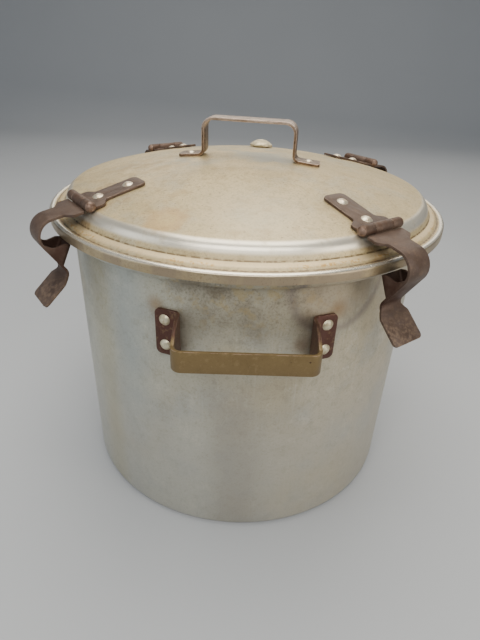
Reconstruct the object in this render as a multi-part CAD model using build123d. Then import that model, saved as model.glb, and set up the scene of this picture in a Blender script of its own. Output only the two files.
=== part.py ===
from build123d import *
import os
from math import acos, asin, atan2, cos, degrees, hypot, pi, radians, sin, sqrt, tan

# A round drawn-aluminium stock pot with a domed lid that four hinged strap clamps hold down.
# Millimetres, +Z up. The origin is the centre of the pot's flat base, and the front handle faces -Y.

# ---- driving dimensions ----

# pot
pot_height = 242.2            # base to the top of the rim's flange
pot_wall_radius = 148.4       # outside, at the rim
pot_wall_taper = 1.7          # how much smaller the radius is at the base
pot_sheet = 2.0
pot_base_corner = 7.0         # outside radius between wall and base
rim_curl_radius = 3.9         # outside radius of the rolled rim
rim_curl_offset = 7.2         # from the wall to the centre of the roll
rim_sheet = 1.8               # the rolled edge is thinned by rolling
rim_shoulder = 3.0            # outside radius where the wall turns out into the rim
rim_wire_clearance = 0.3

# lid
lid_sheet = 2.0
lid_rim_gap = 3.5             # between the pot's rim and the inside of the skirt
lid_bead_width = 5.2          # outer bead, from the groove to the outside
lid_channel_width = 2.8       # from the edge of the ledge to the groove
lid_ledge_width = 4.3         # from the foot of the step to the edge of the ledge
lid_shoulder_run = 8.18       # from the crown's edge to the foot of the step
lid_step_rise = 8.73          # foot of the step above the pot's rim
lid_crown_radius = 510.0      # sphere that the crown follows
lid_shoulder_radius = 9.0
lid_shoulder_slope = 68.0     # degrees, of the step below the shoulder
lid_ledge_drop = 1.3
lid_groove_drop = 3.9         # below the foot of the step
lid_crest_rise = 1.5          # of the outer bead, above the groove
lid_edge_drop = 1.4           # of the bead's outer corner, below its crest
lid_skirt_drop = 1.2          # bottom of the skirt below the top of the pot's rim
lid_hollow_fillet = 2.2       # in the foot of the step
lid_groove_fillet = 2.4
lid_bend_inside = 0.4         # inside radius of the bends at the ledge and the crest
lid_edge_inside = 0.1         # inside radius of the bend at the outer edge

# gasket
gasket_inset = 0.4            # from the foot of the step
gasket_edge_gap = 0.7         # from the groove
gasket_bevel_inset = 1.0      # the bevel starts this far inside the ledge's edge
gasket_clearance = 0.3        # above the pot's rim
gasket_seat = 0.1             # below the ledge

# side handles
handle_azimuth = -88.7        # of the front handle; the rear one is opposite
handle_sheet = 2.2
handle_plate_angle = 21.9     # each side of the middle, to the rivets
handle_plate_width = 15.0
handle_plate_height = 36.0
handle_plate_corner = 4.0
handle_span = 99.0            # outside the two legs, at the grip
handle_splay = 2.7            # how far each leg leans out on its way to the grip
handle_stand = 27.6           # from the pot's wall to the outside of the grip
handle_grip_height = 16.0
handle_grip_corner = 7.5
handle_foot_bend = 3.5
handle_drop = 51.6            # middle of the plates below the top of the rim
handle_rivet_pitch = 20.0
handle_gap = 0.05             # between a plate and the wall

# rivets
rivet_shank = 2.1
rivet_hole_clearance = 0.05
rivet_seat = 0.06             # lets a flat rivet tail sit on a curved sheet
side_rivet_head = 4.2
side_rivet_rise = 2.0
leaf_rivet_head = 4.1
leaf_rivet_rise = 1.7
lid_rivet_head = 3.0
lid_rivet_rise = 1.3
tail_head_ratio = 0.9         # the formed tail inside is a little smaller than the head

# lid handle
lid_handle_azimuth = -9.6
lid_handle_sheet = 2.2
lid_handle_width = 16.0
lid_handle_span = 79.0        # outside the two legs
lid_handle_rise = 30.0        # top of the grip above the crown
lid_handle_corner = 9.5
lid_handle_foot_bend = 4.0
lid_handle_rivet_inset = 11.1  # from the outside of a leg to its rivet
lid_handle_toe = 9.4          # from the rivet to the end of the foot
lid_handle_toe_corner = 4.0

# relief vent
vent_distance = 68.0          # from the lid's axis
vent_azimuth = 80.4
vent_body_radius = 5.0
vent_stem_clearance = 0.08
vent_flange_radius = 7.5
vent_flange_height = 1.4
vent_flange_chamfer = 0.4
vent_body_depth = 7.5         # below the lid's top face
vent_nut_radius = 8.0
vent_nut_height = 3.2
vent_stem_radius = 1.8
vent_stem_length = 17.0
vent_cap_radius = 10.7
vent_cap_height = 5.3
vent_cap_sheet = 1.4
vent_cap_gap = 0.3
vent_cap_relief = 1.0         # hollow between the cap's boss and its skirt
vent_cap_lip = 1.6            # straight height of the cap's edge
vent_retainer_radius = 4.5
vent_retainer_height = 1.6
vent_retainer_inset = 1.5     # from the end of the stem

# clamps
clamp_azimuths = {"front_right": -53.0, "rear_right": 39.0, "rear_left": 127.0, "front_left": -143.0}
clamp_sheet = 1.8
clamp_width = 20.0
clamp_wide = 34.4             # at the hinge
hinge_inset = 5.2             # from the foot of the lid's step in to the pin
hinge_offset = 3.338          # pin's centre above the underside of the leaf
pin_radius = 2.0
pin_running_clearance = 0.06
pin_fixed_clearance = 0.02
pin_head_radius = 3.75
pin_head_length = 3.0
pin_head_gap = 0.05
knuckle_end = 18.0            # from the middle to the end of the hinge barrel
strap_knuckle = 8.5           # half the strap's own knuckle
knuckle_side_gap = 0.3
knuckle_sweep_gap = 0.5       # between a knuckle and the sheet that turns past it
sliver = 0.01                 # keeps a widened outline just inside the narrow one's edge

leaf_length = 47.3            # from the pin to the leaf's inner end
leaf_width = 20.2
leaf_waist = 15.1             # from the pin to where the leaf starts to narrow
leaf_widening = 4.0
leaf_touch = 25.5             # from the pin to where the flat leaf touches the crown
leaf_gap = 0.05
leaf_rivet_far = 36.5         # from the pin to the inner rivet
leaf_rivet_near = 12.9        # from the pin to the outer rivet
leaf_tip_corner = 4.5
leaf_side_fillet = 3.0
leaf_end_fillet = 0.4

strap_level_run = 2.5         # from the pin to where the strap turns down
strap_slope = 11.0            # degrees below level
strap_bend_radius = 12.0
strap_reach = 26.8            # corner of the outer turn, outside the lid
strap_turn_radius = 13.0
strap_return = 56.5           # degrees below level, back towards the pot
strap_neck_offset = 5.5       # corner of the neck, outside the hook's nose
strap_neck_radius = 5.0
tab_slope = 42.5              # degrees below level, outwards
tab_length = 29.2
tab_width = 28.0
tab_shoulder_start = 2.0      # along the tab, from the narrow neck
tab_shoulder_end = 8.0        # to the full width
tab_corner = 3.5
strap_wide_length = 12.0      # from the pin, as far as the strap is wide
strap_flare_length = 16.5     # from the pin, to where it is narrow
strap_flare_overlap = 6.0
strap_side_fillet = 3.0
strap_end_fillet = 1.5

hook_gap = 1.2                # between the rim and the hook's nose
hook_rise = 3.8               # top of the nose above the bottom of the rim
hook_depth = 16.5             # height of the nose wall
hook_nose_radius = 2.0
hook_side_radius = 3.6        # rounding between the hook's nose and its sides
hook_crest_run = 5.8          # highest point of the open top edge, outwards from the nose
hook_crest_rise = 1.2
hook_crest_radius = 2.0
hook_dip_run = 13.3           # lowest point of the open top edge, outwards from the nose
hook_dip_drop = 0.7
hook_dip_radius = 5.0
hook_sheet = 1.6
hook_overlap = 0.58           # how deep the box is let into the strap, as a share of its sheet

# ---- sizes that follow ----

rim_curl_centre = pot_wall_radius + rim_curl_offset
rim_radius = rim_curl_centre + rim_curl_radius
lid_radius = rim_radius + lid_rim_gap + lid_sheet
lid_groove_radius = lid_radius - lid_bead_width
lid_ledge_radius = lid_groove_radius - lid_channel_width
lid_step_radius = lid_ledge_radius - lid_ledge_width
lid_crown_edge = lid_step_radius - lid_shoulder_run
lid_step_level = pot_height + lid_step_rise
lid_skirt_bottom = pot_height - lid_skirt_drop
handle_reach = pot_wall_radius + handle_stand
handle_level = pot_height - handle_drop
lid_handle_rivet = lid_handle_span / 2 + lid_handle_rivet_inset
hinge_radius = lid_step_radius - hinge_inset
leaf_tangent = hinge_radius - leaf_touch
hook_nose = rim_radius + hook_gap
hook_top = pot_height - 2 * rim_curl_radius + hook_rise
strap_bend_start = hinge_radius + strap_level_run
strap_outer = lid_radius + strap_reach
strap_neck = hook_nose + strap_neck_offset


# ---- small helpers ----

def mitred(points, distance):
    """Move an open polyline sideways, to the left of its direction."""
    moved = []
    for i, (x, y) in enumerate(points):
        end = min(i + 1, len(points) - 1)
        before = atan2(points[max(i, 1)][1] - points[max(i, 1) - 1][1],
                       points[max(i, 1)][0] - points[max(i, 1) - 1][0])
        after = atan2(points[end][1] - points[end - 1][1], points[end][0] - points[end - 1][0])
        reach = distance / cos((after - before) / 2)
        middle = (before + after) / 2
        moved.append((x - reach * sin(middle), y + reach * cos(middle)))
    return moved


def bend_signs(points):
    """+1 where the polyline turns left, -1 where it turns right."""
    signs = []
    for p, q, r in zip(points, points[1:], points[2:]):
        cross = (q[0] - p[0]) * (r[1] - q[1]) - (q[1] - p[1]) * (r[0] - q[0])
        signs.append(1 if cross > 0 else -1)
    return signs


def sheet_section(points, radii, thickness):
    """Cross-section of bent sheet. points and radii describe the face on the left of the path."""
    inner = mitred(points, -thickness)
    signs = bend_signs(points)
    inner_radii = [r + s * thickness for r, s in zip(radii, signs)]
    face_edge = FilletPolyline(*points, radius=list(radii))
    back_edge = FilletPolyline(*inner, radius=inner_radii)
    ends = [Line(points[0], inner[0]), Line(points[-1], inner[-1])]
    return make_face([*face_edge.edges(), *back_edge.edges(), *[e for line in ends for e in line.edges()]])


def upright(face):
    """Stand a (radius, height) section up in the XZ plane."""
    return Plane.XZ * face


def turned(face):
    return revolve(upright(face), Axis.Z, 360)


def slab(face, width):
    """Extrude a (radius, height) section to both sides of the XZ plane."""
    return extrude(upright(face), width / 2, both=True)


def box_between(low, high):
    size = [b - a for a, b in zip(low, high)]
    return Pos(*low) * Box(*size, align=(Align.MIN, Align.MIN, Align.MIN))


def around(azimuth):
    return Rot(0, 0, azimuth)


def dome(radius, rise, level):
    """Arc of a spherical cap about the axis, from its apex to its edge. A negative rise points down."""
    height = abs(rise)
    ball = (radius ** 2 + height ** 2) / (2 * height)
    half = asin(radius / ball) / 2
    side = 1 if rise > 0 else -1
    middle = (ball * sin(half), level + side * (height - ball + ball * cos(half)))
    return ThreePointArc((0, level + rise), middle, (radius, level))


def rivet(shank, head, rise, grip):
    """A rivet along Z: domed head seated on z = 0, shank down through grip, formed tail below."""
    tail = head * tail_head_ratio
    section = make_face([
        *dome(head, rise, 0).edges(),
        *Polyline((head, 0), (shank, 0), (shank, -grip), (tail, -grip)).edges(),
        *dome(tail, -rise, -grip).edges(),
        *Line((0, -grip - rise), (0, rise)).edges(),
    ])
    return turned(section)


def shoulder_corner():
    """Where the crown's tangent at its edge meets the line of the step."""
    edge_angle = asin(lid_crown_edge / lid_crown_radius)
    slope = radians(lid_shoulder_slope)
    side = lid_shoulder_radius * tan((slope - edge_angle) / 2)
    distance = lid_crown_edge + side * cos(edge_angle)
    return distance, lid_step_level + (lid_step_radius - distance) * tan(slope), side * sin(edge_angle)


def crown_top():
    """Height of the middle of the lid, above the base."""
    _, level, drop = shoulder_corner()
    edge_angle = asin(lid_crown_edge / lid_crown_radius)
    return level + drop + lid_crown_radius * (1 - cos(edge_angle))


def crown_height(distance):
    """Height of the lid's top face at a distance from its axis, inside the crown."""
    return crown_top() - lid_crown_radius + sqrt(lid_crown_radius ** 2 - distance ** 2)


def on_crown(distance):
    """A frame on the lid's top face at azimuth 0, with its Z along the outward normal."""
    tilt = degrees(asin(distance / lid_crown_radius))
    return Pos(distance, 0, crown_height(distance)) * Rot(0, tilt, 0)


# ---- pot ----

def pot_shell():
    top_of_wall = pot_height - rim_sheet - rim_shoulder
    outside = [(0, 0), (pot_wall_radius - pot_wall_taper, 0), (pot_wall_radius, top_of_wall)]
    inside = mitred(outside, pot_sheet)
    inside[0] = (0, pot_sheet)
    inner_wall = inside[-1][0]
    shoulder, turn = pot_wall_radius + rim_shoulder, rim_shoulder + rim_sheet
    under_flange, curl_level = pot_height - rim_sheet, pot_height - rim_curl_radius
    bore = rim_curl_radius - rim_sheet
    # one section: up the outside, out under the flange, round the roll and back down the inside
    section = make_face([
        *FilletPolyline(*outside, radius=pot_base_corner).edges(),
        *RadiusArc(outside[-1], (shoulder, under_flange), rim_shoulder).edges(),
        *Line((shoulder, under_flange), (rim_curl_centre, under_flange)).edges(),
        *CenterArc((rim_curl_centre, curl_level), bore, 90, -270).edges(),
        *Line((rim_curl_centre - bore, curl_level), (rim_curl_centre - rim_curl_radius, curl_level)).edges(),
        *CenterArc((rim_curl_centre, curl_level), rim_curl_radius, 180, 270).edges(),
        *Line((rim_curl_centre, pot_height), (inner_wall + turn, pot_height)).edges(),
        *RadiusArc((inner_wall + turn, pot_height), inside[-1], -turn).edges(),
        *FilletPolyline(*inside, radius=pot_base_corner - pot_sheet).edges(),
        *Line(inside[0], outside[0]).edges(),
    ])
    shell = turned(section)
    for azimuth in (handle_azimuth, handle_azimuth + 180):
        for place in side_rivet_places(azimuth):
            shell -= place * Cylinder(rivet_shank + rivet_hole_clearance, 8 * pot_sheet)
    return shell


def rim_wire():
    bore = rim_curl_radius - rim_sheet
    return Pos(0, 0, pot_height - rim_curl_radius) * Torus(rim_curl_centre, bore - rim_wire_clearance)


# ---- side handles ----

def plate_face_distance():
    """Distance from the pot's axis to the inner face of a handle plate."""
    return wall_radius_at(handle_level + handle_plate_height / 2) + handle_gap


def wall_radius_at(level):
    full = pot_height - rim_sheet - rim_shoulder
    return pot_wall_radius - pot_wall_taper * (1 - level / full)


def side_rivet_places(azimuth):
    """Frames on the outer face of the plates, Z pointing away from the pot."""
    outer = plate_face_distance() + handle_sheet
    places = []
    for side in (-1, 1):
        for up in (-1, 1):
            level = handle_level + up * handle_rivet_pitch / 2
            turn = around(azimuth + side * handle_plate_angle)
            places.append(turn * Pos(outer, 0, level) * Rot(0, 90, 0))
    return places


def side_handle(azimuth):
    """A strap handle: two riveted plates, two tapering legs and a straight grip."""
    angle = radians(handle_plate_angle)
    middle = plate_face_distance() + handle_sheet
    centre = (middle * cos(angle), middle * sin(angle))
    along = (-sin(angle), cos(angle))
    toe = [c + a * handle_plate_width / 2 for c, a in zip(centre, along)]
    leg = handle_span / 2
    root = leg - handle_splay
    reach = (centre[1] - root) / along[1]
    foot = (centre[0] - along[0] * reach, root)
    half = [tuple(toe), foot, (handle_reach, leg)]
    path = half + [(x, -y) for x, y in reversed(half)]
    radii = [handle_foot_bend, handle_grip_corner, handle_grip_corner, handle_foot_bend]
    # the path is the outer face: seen from above the sheet lies on its right
    section = sheet_section(path, radii, handle_sheet)
    strap = Pos(0, 0, handle_level - handle_plate_height / 2) * extrude(section, handle_plate_height)
    taper_start = middle + handle_foot_bend
    taper_end = handle_reach - handle_grip_corner
    low = handle_level - handle_plate_height / 2
    high = handle_level + handle_plate_height / 2
    grip_low = handle_level - handle_grip_height / 2
    grip_high = handle_level + handle_grip_height / 2
    inner_limit = centre[0] - handle_plate_height
    outline = Polyline(
        (inner_limit, low), (taper_start, low), (taper_end, grip_low), (handle_reach + 1, grip_low),
        (handle_reach + 1, grip_high), (taper_end, grip_high), (taper_start, high), (inner_limit, high),
        close=True)
    strap &= slab(make_face(outline.edges()), 2 * handle_span)
    ends = [e for e in strap.edges() if abs(e.length - handle_sheet) < 0.01 and
            hypot(e.center().X - toe[0], abs(e.center().Y) - toe[1]) < handle_sheet * 1.5]
    strap = fillet(ends, handle_plate_corner)
    for place in side_rivet_places(0):
        strap -= place * Cylinder(rivet_shank + rivet_hole_clearance, 4 * handle_sheet)
    return around(azimuth) * strap


def side_rivets(azimuth):
    narrowest = wall_radius_at(handle_level - handle_rivet_pitch / 2) - pot_sheet
    grip = plate_face_distance() + handle_sheet - narrowest + rivet_seat
    one = rivet(rivet_shank, side_rivet_head, side_rivet_rise, grip)
    return Compound([place * one for place in side_rivet_places(azimuth)])


# ---- lid ----

def lid_profile():
    """Corners and radii of the lid's top face, from the crown's edge to the bottom of the skirt."""
    edge_angle = asin(lid_crown_edge / lid_crown_radius)
    groove_level = lid_step_level - lid_groove_drop
    crest_level = groove_level + lid_crest_rise
    corners = [
        (lid_crown_edge - cos(edge_angle), crown_height(lid_crown_edge) + sin(edge_angle)),
        shoulder_corner()[:2],
        (lid_step_radius, lid_step_level),
        (lid_ledge_radius, lid_step_level - lid_ledge_drop),
        (lid_groove_radius, groove_level),
        ((lid_groove_radius + lid_radius) / 2, crest_level),
        (lid_radius, crest_level - lid_edge_drop),
        (lid_radius, lid_skirt_bottom),
    ]
    bend = lid_sheet + lid_bend_inside
    return corners, [lid_shoulder_radius, lid_hollow_fillet, bend, lid_groove_fillet, bend,
                     lid_sheet + lid_edge_inside]


def lid_shell():
    corners, radii = lid_profile()
    rim = turned(sheet_section(corners, radii, lid_sheet))
    start = corners[0]
    lid_top = crown_top()
    centre = lid_top - lid_crown_radius
    angle = atan2(start[0], start[1] - centre)
    inner_radius = lid_crown_radius - lid_sheet
    inner_start = (inner_radius * sin(angle), centre + inner_radius * cos(angle))
    outer_start = (lid_crown_radius * sin(angle), centre + lid_crown_radius * cos(angle))
    half = angle / 2
    crown = turned(make_face([
        *ThreePointArc((0, lid_top), (lid_crown_radius * sin(half), centre + lid_crown_radius * cos(half)),
                       outer_start).edges(),
        *Line(outer_start, inner_start).edges(),
        *ThreePointArc(inner_start, (inner_radius * sin(half), centre + inner_radius * cos(half)),
                       (0, lid_top - lid_sheet)).edges(),
        *Line((0, lid_top - lid_sheet), (0, lid_top)).edges(),
    ]))
    shell = crown + rim
    hole = Cylinder(rivet_shank + rivet_hole_clearance, 6 * lid_sheet)
    for place in lid_handle_rivet_places():
        shell -= place * hole
    for azimuth in clamp_azimuths.values():
        for place in leaf_rivet_places():
            shell -= around(azimuth) * place * hole
    shell -= vent_place() * Cylinder(vent_body_radius + rivet_hole_clearance, 6 * lid_sheet)
    return shell


def lid_gasket():
    """Flat ring that fills the channel between the ledge and the pot's rim."""
    corners, _ = lid_profile()
    step, ledge = corners[2], corners[3]
    slope = (ledge[1] - step[1]) / (ledge[0] - step[0])
    inner = lid_step_radius + gasket_inset
    outer = lid_groove_radius - gasket_edge_gap
    bevel = lid_ledge_radius - gasket_bevel_inset
    bottom = pot_height + gasket_clearance
    under = lid_sheet * sqrt(1 + slope ** 2) + gasket_seat

    def top(distance):
        return step[1] + slope * (distance - step[0]) - under

    section = Polyline((inner, bottom), (outer, bottom), (outer, top(bevel) - (outer - bevel)),
                       (bevel, top(bevel)), (inner, top(inner)), close=True)
    return turned(make_face(section.edges()))


def lid_handle_rivet_places():
    """Frames on the upper face of the handle's feet, Z along the rivet."""
    places = []
    for turn in (0, 180):
        place = around(lid_handle_azimuth + turn) * on_crown(lid_handle_rivet)
        places.append(place * Pos(0, 0, leaf_gap + lid_handle_sheet))
    return places


def lid_handle():
    """A strap bent up into a bow, with two feet that lie on the crown."""
    tilt = asin(lid_handle_rivet / lid_crown_radius)
    lift = leaf_gap + lid_handle_sheet
    base = (lid_handle_rivet + lift * sin(tilt), crown_height(lid_handle_rivet) + lift * cos(tilt))

    def foot_point(along):
        return (base[0] + along * cos(tilt), base[1] - along * sin(tilt))

    toe = foot_point(lid_handle_toe)
    leg = lid_handle_span / 2
    foot = foot_point((leg - base[0]) / cos(tilt))
    half = [toe, foot, (leg, crown_top() + lid_handle_rise)]
    # the path is the outer face, drawn so that the sheet lies on its right
    path = [(-x, y) for x, y in half] + list(reversed(half))
    radii = [lid_handle_foot_bend, lid_handle_corner, lid_handle_corner, lid_handle_foot_bend]
    section = sheet_section(path, radii, lid_handle_sheet)
    strap = slab(section, lid_handle_width)
    ends = [e for e in strap.edges() if abs(e.length - lid_handle_sheet) < 0.01 and
            hypot(abs(e.center().X) - toe[0], e.center().Z - toe[1]) < lid_handle_sheet * 1.5]
    strap = fillet(ends, lid_handle_toe_corner)
    strap = around(lid_handle_azimuth) * strap
    for place in lid_handle_rivet_places():
        strap -= place * Cylinder(rivet_shank + rivet_hole_clearance, 3 * lid_handle_sheet)
    return strap


def lid_handle_rivets():
    grip = lid_sheet + lid_handle_sheet + leaf_gap + rivet_seat
    one = rivet(rivet_shank, lid_rivet_head, lid_rivet_rise, grip)
    return Compound([place * one for place in lid_handle_rivet_places()])


# ---- relief vent ----

def vent_place():
    """Frame on the crown at the vent, Z along the outward normal."""
    return around(vent_azimuth) * on_crown(vent_distance)


def vent_seat():
    body = Pos(0, 0, -vent_body_depth) * Cylinder(
        vent_body_radius, vent_body_depth + leaf_gap, align=(Align.CENTER, Align.CENTER, Align.MIN))
    flange = Pos(0, 0, leaf_gap) * Cylinder(
        vent_flange_radius, vent_flange_height, align=(Align.CENTER, Align.CENTER, Align.MIN))
    seat = body + flange
    seat = chamfer(seat.edges().filter_by(GeomType.CIRCLE).group_by(Axis.Z)[-1], vent_flange_chamfer)
    seat -= Cylinder(vent_stem_radius + vent_stem_clearance, 4 * vent_body_depth)
    return vent_place() * seat


def vent_nut():
    nut = extrude(RegularPolygon(vent_nut_radius, 6), vent_nut_height)
    nut -= Cylinder(vent_body_radius + leaf_gap, 4 * vent_nut_height)
    return vent_place() * Pos(0, 0, -lid_sheet - leaf_gap * 2 - vent_nut_height) * nut


def vent_cap():
    """A mushroom cap on a stem that passes down through the seat."""
    rim_level = leaf_gap + vent_flange_height + vent_cap_gap
    top = rim_level + vent_cap_height
    inner = vent_cap_radius - vent_cap_sheet
    roof = top - vent_cap_sheet * 1.5
    boss = vent_flange_radius - vent_cap_relief
    edge = rim_level - vent_cap_relief
    section = make_face([
        *Line((0, top), (0, rim_level - vent_stem_length)).edges(),
        *Polyline((0, rim_level - vent_stem_length), (vent_stem_radius, rim_level - vent_stem_length),
                  (vent_stem_radius, rim_level), (boss, rim_level),
                  (vent_flange_radius, roof - vent_cap_relief), (inner - vent_cap_relief, roof - 2 * vent_cap_relief),
                  (inner, edge), (vent_cap_radius, edge), (vent_cap_radius, edge + vent_cap_lip)).edges(),
        *dome(vent_cap_radius, top - edge - vent_cap_lip, edge + vent_cap_lip).edges(),
    ])
    return vent_place() * turned(section)


def retainer_level():
    return leaf_gap + vent_flange_height + vent_cap_gap - vent_stem_length + vent_retainer_inset


def vent_retainer():
    ring = Cylinder(vent_retainer_radius, vent_retainer_height,
                    align=(Align.CENTER, Align.CENTER, Align.MIN))
    ring -= Cylinder(vent_stem_radius, 4 * vent_retainer_height)
    return vent_place() * Pos(0, 0, retainer_level()) * ring


# ---- clamps: each is built at azimuth 0 and turned to its place ----

def barrel_radius():
    return pin_radius + pin_running_clearance + clamp_sheet


def hinge_level():
    """Height of the pin, which stands off the underside of the flat leaf."""
    tilt = asin(leaf_tangent / lid_crown_radius)
    touch = (leaf_tangent + leaf_gap * sin(tilt), crown_height(leaf_tangent) + leaf_gap * cos(tilt))
    return touch[1] - (hinge_radius - touch[0]) * tan(tilt) + hinge_offset


def at_pin(angle=90):
    """Frame at the hinge, Z along the pin."""
    return Pos(hinge_radius, 0, hinge_level()) * Rot(angle, 0, 0)


def ring(low, high, bore):
    """A piece of the hinge barrel, along Y from low to high."""
    tube = Cylinder(barrel_radius(), high - low) - Cylinder(bore, high - low)
    return Pos(0, (low + high) / 2, 0) * at_pin() * tube


def leaf_frame():
    """Frame on the crown where the flat leaf touches it: X runs outwards and down."""
    return on_crown(leaf_tangent) * Pos(0, 0, leaf_gap)


def along_leaf(distance):
    """Place along the leaf, from where it touches the crown, for a distance from the lid's axis."""
    return (distance - leaf_tangent) / cos(asin(leaf_tangent / lid_crown_radius))


def leaf_rivet_places():
    return [leaf_frame() * Pos(along_leaf(hinge_radius - d), 0, clamp_sheet)
            for d in (leaf_rivet_far, leaf_rivet_near)]


def clamp_leaf():
    tip = along_leaf(hinge_radius - leaf_length)
    waist = along_leaf(hinge_radius - leaf_waist)
    wide = waist + leaf_widening
    end = along_leaf(hinge_radius - barrel_radius() / 2)
    narrow_half = leaf_width / 2
    wide_half = clamp_wide / 2
    outline = FilletPolyline(
        (0, -narrow_half), (waist, -narrow_half), (wide, -wide_half), (end, -wide_half),
        (end, wide_half), (wide, wide_half), (waist, narrow_half), (tip, narrow_half),
        (tip, -narrow_half), (0, -narrow_half + 0.001),
        radius=[leaf_side_fillet, leaf_side_fillet, leaf_end_fillet, leaf_end_fillet,
                leaf_side_fillet, leaf_side_fillet, leaf_tip_corner, leaf_tip_corner])
    closing = Line((0, -narrow_half + 0.001), (0, -narrow_half))
    plate = leaf_frame() * extrude(make_face([*outline.edges(), *closing.edges()]), clamp_sheet)
    bore = pin_radius + pin_fixed_clearance
    plate -= at_pin() * Cylinder(barrel_radius() - clamp_sheet / 2, 2 * clamp_wide)
    plate -= at_pin() * Cylinder(
        barrel_radius() + knuckle_sweep_gap, 2 * (strap_knuckle + knuckle_side_gap))
    leaf = plate
    for low, high in ((-knuckle_end, -strap_knuckle - knuckle_side_gap),
                      (strap_knuckle + knuckle_side_gap, knuckle_end)):
        leaf += ring(low, high, bore)
    for place in leaf_rivet_places():
        leaf -= place * Cylinder(rivet_shank + rivet_hole_clearance, 4 * clamp_sheet)
    return leaf


def clamp_rivets():
    # the flat leaf stands off the curved crown a little at each rivet
    away = max(leaf_rivet_far - leaf_touch, leaf_touch - leaf_rivet_near) + leaf_rivet_head
    grip = lid_sheet + clamp_sheet + leaf_gap + away ** 2 / (2 * lid_crown_radius) + rivet_seat
    one = rivet(rivet_shank, leaf_rivet_head, leaf_rivet_rise, grip)
    return Compound([place * one for place in leaf_rivet_places()])


def clamp_pin():
    """Hinge pin with a domed head formed at each end."""
    end = knuckle_end + pin_head_gap
    section = make_face([
        *dome(pin_head_radius, pin_head_length, end).edges(),
        *Polyline((pin_head_radius, end), (pin_radius, end), (pin_radius, -end), (pin_head_radius, -end)).edges(),
        *dome(pin_head_radius, -pin_head_length, -end).edges(),
        *Line((0, -end - pin_head_length), (0, end + pin_head_length)).edges(),
    ])
    return at_pin() * turned(section)


def strap_path():
    """Corners of the strap's outer face, from under the pin to the end of the tab."""
    level = hinge_level() - barrel_radius() + clamp_sheet
    slope, back, out = radians(strap_slope), radians(strap_return), radians(tab_slope)
    outer_level = level - (strap_outer - strap_bend_start) * tan(slope)
    neck_level = outer_level - (strap_outer - strap_neck) * tan(back)
    end = (strap_neck + tab_length * cos(out), neck_level - tab_length * sin(out))
    corners = [(hinge_radius, level), (strap_bend_start, level), (strap_outer, outer_level),
               (strap_neck, neck_level), end]
    return corners, [strap_bend_radius, strap_turn_radius, strap_neck_radius]


def clamp_strap():
    """The swinging part: hinge knuckle, strap over the rim, boxed hook and thumb tab."""
    corners, radii = strap_path()
    section = sheet_section(corners, radii, clamp_sheet)
    strap = slab(section, clamp_width)
    wide_sheet = slab(section, clamp_wide)
    level = corners[0][1]
    half, wide_half = clamp_width / 2, clamp_wide / 2
    start = hinge_radius + barrel_radius()
    wide_end, narrow_start = hinge_radius + strap_wide_length, hinge_radius + strap_flare_length
    flare = FilletPolyline(
        (start, 0), (start, wide_half), (wide_end, wide_half), (narrow_start, half - sliver),
        (narrow_start + strap_flare_overlap, half - sliver), (narrow_start + strap_flare_overlap, 0),
        radius=[strap_end_fillet, strap_side_fillet, strap_side_fillet, leaf_end_fillet])
    outline = make_face([*flare.edges(), *Line((narrow_start + strap_flare_overlap, 0), (start, 0)).edges()])
    flares = extrude(outline, 4 * clamp_sheet, both=True)
    flares += mirror(flares, Plane.XZ)
    strap += wide_sheet & (Pos(0, 0, level) * flares)
    # the strap is only as wide as its knuckle where it passes between the leaf's knuckles
    tall = 2 * barrel_radius()
    for side in (-1, 1):
        low = strap_knuckle if side > 0 else -clamp_wide
        high = clamp_wide if side > 0 else -strap_knuckle
        strap -= box_between((hinge_radius - tall, low, level - tall), (start, high, level + tall))
    strap += wide_sheet & tab_outline()
    strap += hook_box()
    strap += ring(-strap_knuckle, strap_knuckle, pin_radius + pin_running_clearance)
    strap -= at_pin() * Cylinder(pin_radius + pin_running_clearance, 2 * clamp_wide)
    return strap


def tab_outline():
    """Prism in the plane of the tab: narrow at the neck, full width below, round corners."""
    corners, _ = strap_path()
    neck = corners[3]
    half, wide_half = clamp_width / 2, tab_width / 2
    narrow, full = tab_shoulder_start, tab_shoulder_end
    outline = FilletPolyline(
        (narrow, 0), (narrow, half - sliver), (full, wide_half), (tab_length, wide_half), (tab_length, 0),
        radius=[leaf_end_fillet, strap_side_fillet, tab_corner])
    face = make_face([*outline.edges(), *Line((tab_length, 0), (narrow, 0)).edges()])
    prism = extrude(face, 3 * clamp_sheet, both=True)
    prism += mirror(prism, Plane.XZ)
    return Pos(neck[0], 0, neck[1]) * Rot(0, tab_slope, 0) * prism


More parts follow.
